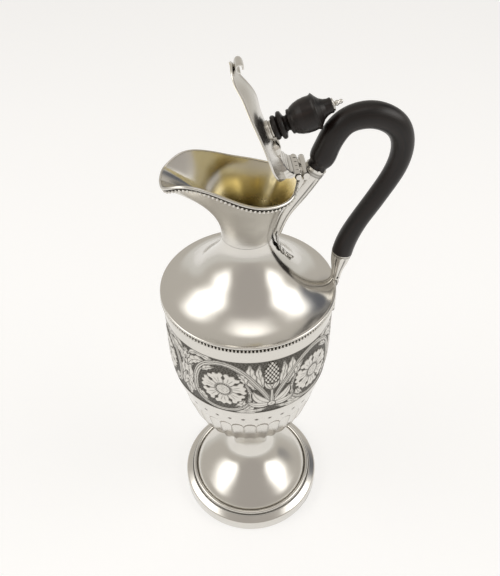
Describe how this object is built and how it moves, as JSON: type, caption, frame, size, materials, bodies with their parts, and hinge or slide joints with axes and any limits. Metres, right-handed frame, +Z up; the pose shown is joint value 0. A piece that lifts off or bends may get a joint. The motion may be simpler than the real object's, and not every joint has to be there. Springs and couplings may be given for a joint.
{
  "type": "claret jug",
  "caption": "Silver claret jug on a domed foot, with a flared spout, a hinged lid with a turned wooden finial, and a goose-neck wooden handle in silver sockets.",
  "frame": {"origin": "middle of the foot's underside, on the jug's axis", "axes": "+Z up; the spout points along -X and the handle stands at +X; +Y is square to both"},
  "size_m": [0.1261, 0.0964, 0.3142],
  "materials": {
    "silver": "polished",
    "gilt_silver": "polished",
    "dark_wood": "satin"
  },
  "bodies": {
    "jug_body": {"foot_ring": "silver", "foot_wire": "silver", "foot_dome": "silver", "stem_knop": "silver", "body_bowl": "silver", "shoulder_bead": "silver", "shoulder": "silver", "neck_spout": "gilt_silver", "mouth_bead": "silver", "hinge_back_leaf": "silver", "hinge_pin": "silver", "upper_socket": "silver", "upper_leaf": "silver", "lower_socket": "silver", "lower_leaf": "silver", "wood_handle": "dark_wood", "upper_handle_pin": "silver", "lower_handle_pin": "silver"},
    "lid_body": {"lid": "silver", "lid_tip_scroll": "silver", "hinge_lid_leaf": "silver", "finial_collar": "silver", "finial_wood": "dark_wood", "finial_rod": "silver", "finial_cap": "silver", "finial_nut": "silver"}
  },
  "joints": [
    {"name": "lid_hinge", "type": "hinge", "parent": "jug_body", "child": "lid_body", "pos_m": [0.0232, 0, 0.2628], "axis": [0, -1, 0], "range_deg": [0, 61]}
  ]
}
